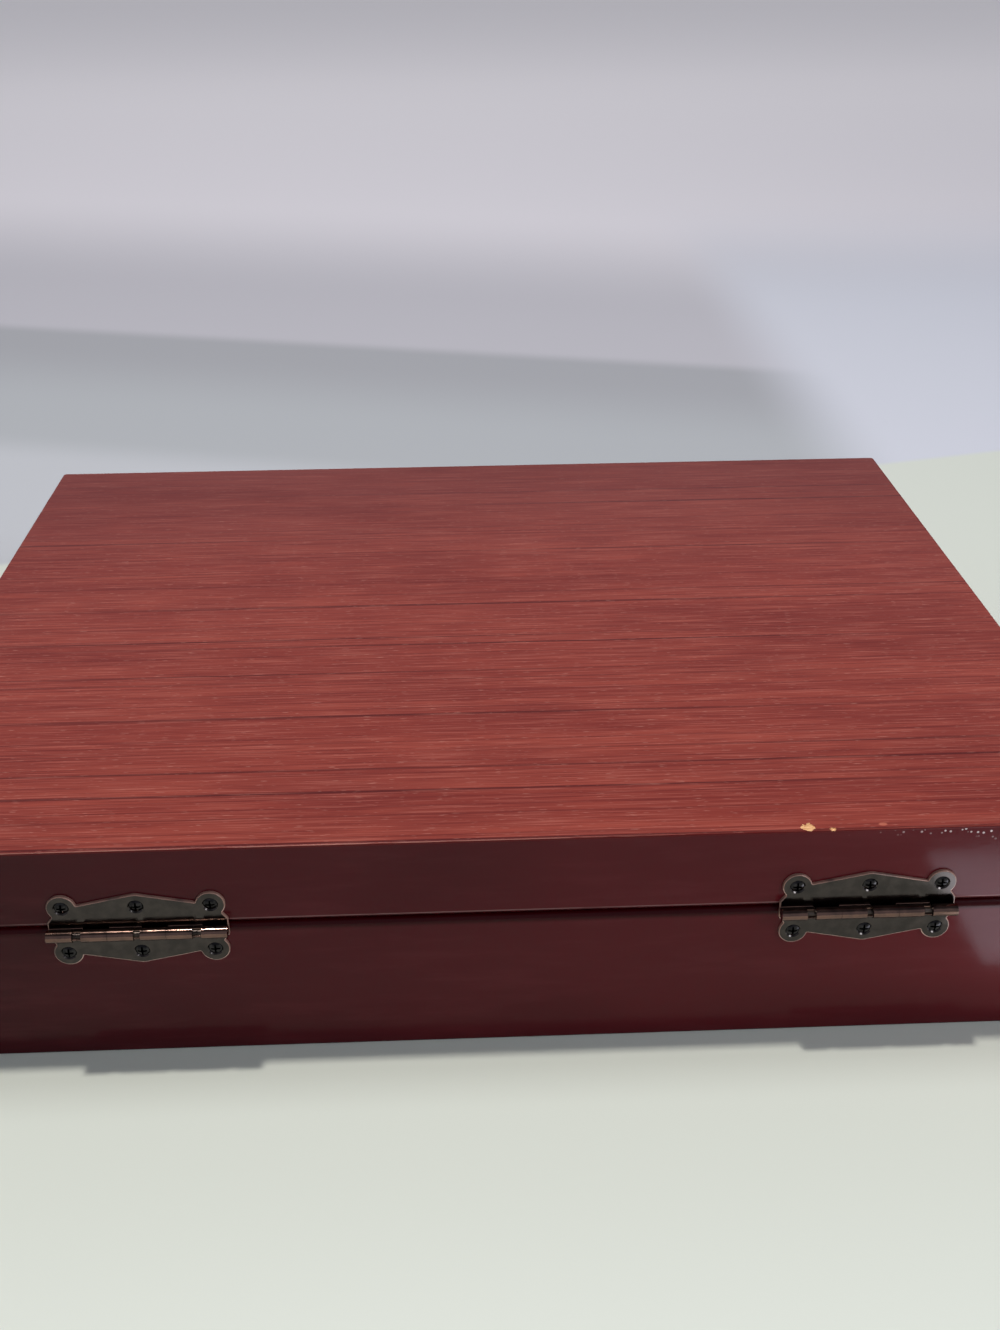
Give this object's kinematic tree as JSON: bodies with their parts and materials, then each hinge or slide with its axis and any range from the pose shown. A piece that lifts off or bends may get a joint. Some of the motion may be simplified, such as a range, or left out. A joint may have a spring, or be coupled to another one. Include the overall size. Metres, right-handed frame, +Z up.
{
  "type": "silverware chest",
  "caption": "Low hinged wooden chest for flatware, red veneered top, dark lacquered sides, bronze hinges and hook latch, cloth-lined racks inside.",
  "frame": {"origin": "middle of the footprint, on the surface that the chest stands on", "axes": "+Z up, +X along the width to the right as seen from the front, front at -Y, hinges at +Y"},
  "size_m": [0.387, 0.3165, 0.077],
  "materials": {
    "veneer": "satin red veneer with fine dark grain along the width",
    "lacquered_wood": "glossy dark burgundy lacquer",
    "bottom_board": "plain unfinished board",
    "cloth": "napped brown anti-tarnish cloth",
    "antique_bronze": "dark antiqued stamping, copper showing at the edges",
    "dark_screw": "blackened steel",
    "pin_steel": "dull steel wire"
  },
  "bodies": {
    "base": {"base_front_wall": "lacquered_wood", "base_right_wall": "lacquered_wood", "base_back_wall": "lacquered_wood", "base_left_wall": "lacquered_wood", "base_bottom_panel": "bottom_board", "base_front_liner": "cloth", "base_right_liner": "cloth", "base_back_liner": "cloth", "base_left_liner": "cloth", "base_floor_pad": "cloth", "front_rack": "cloth", "rear_rack": "cloth", "tray_divider": "cloth", "tray_cross_divider": "cloth", "right_hinge_base_leaf": "antique_bronze", "left_hinge_base_leaf": "antique_bronze", "right_hinge_base_screws": "dark_screw", "left_hinge_base_screws": "dark_screw", "right_hinge_pin": "pin_steel", "left_hinge_pin": "pin_steel", "latch_plate": "antique_bronze", "latch_plate_screws": "dark_screw", "latch_rivet": "antique_bronze"},
    "lid": {"lid_front_wall": "lacquered_wood", "lid_right_wall": "lacquered_wood", "lid_back_wall": "lacquered_wood", "lid_left_wall": "lacquered_wood", "lid_top_panel": "lacquered_wood", "lid_top_veneer": "veneer", "lid_front_liner": "cloth", "lid_right_liner": "cloth", "lid_back_liner": "cloth", "lid_left_liner": "cloth", "lid_pad": "cloth", "knife_handle_rack": "cloth", "knife_blade_bar": "cloth", "right_hinge_lid_leaf": "antique_bronze", "left_hinge_lid_leaf": "antique_bronze", "right_hinge_lid_screws": "dark_screw", "left_hinge_lid_screws": "dark_screw", "stud_plate": "antique_bronze", "stud_plate_screws": "dark_screw", "latch_stud": "antique_bronze"},
    "latch_hook": {"latch_hook": "antique_bronze"}
  },
  "joints": [
    {"name": "lid_hinge", "type": "hinge", "parent": "base", "child": "lid", "pos_m": [0, 0.1569, 0.0489], "axis": [-1, 0, 0], "range_deg": [0, 105]},
    {"name": "hook_pivot", "type": "hinge", "parent": "base", "child": "latch_hook", "pos_m": [0, -0.15505, 0.0397], "axis": [0, -1, 0], "range_deg": [0, 180]}
  ]
}
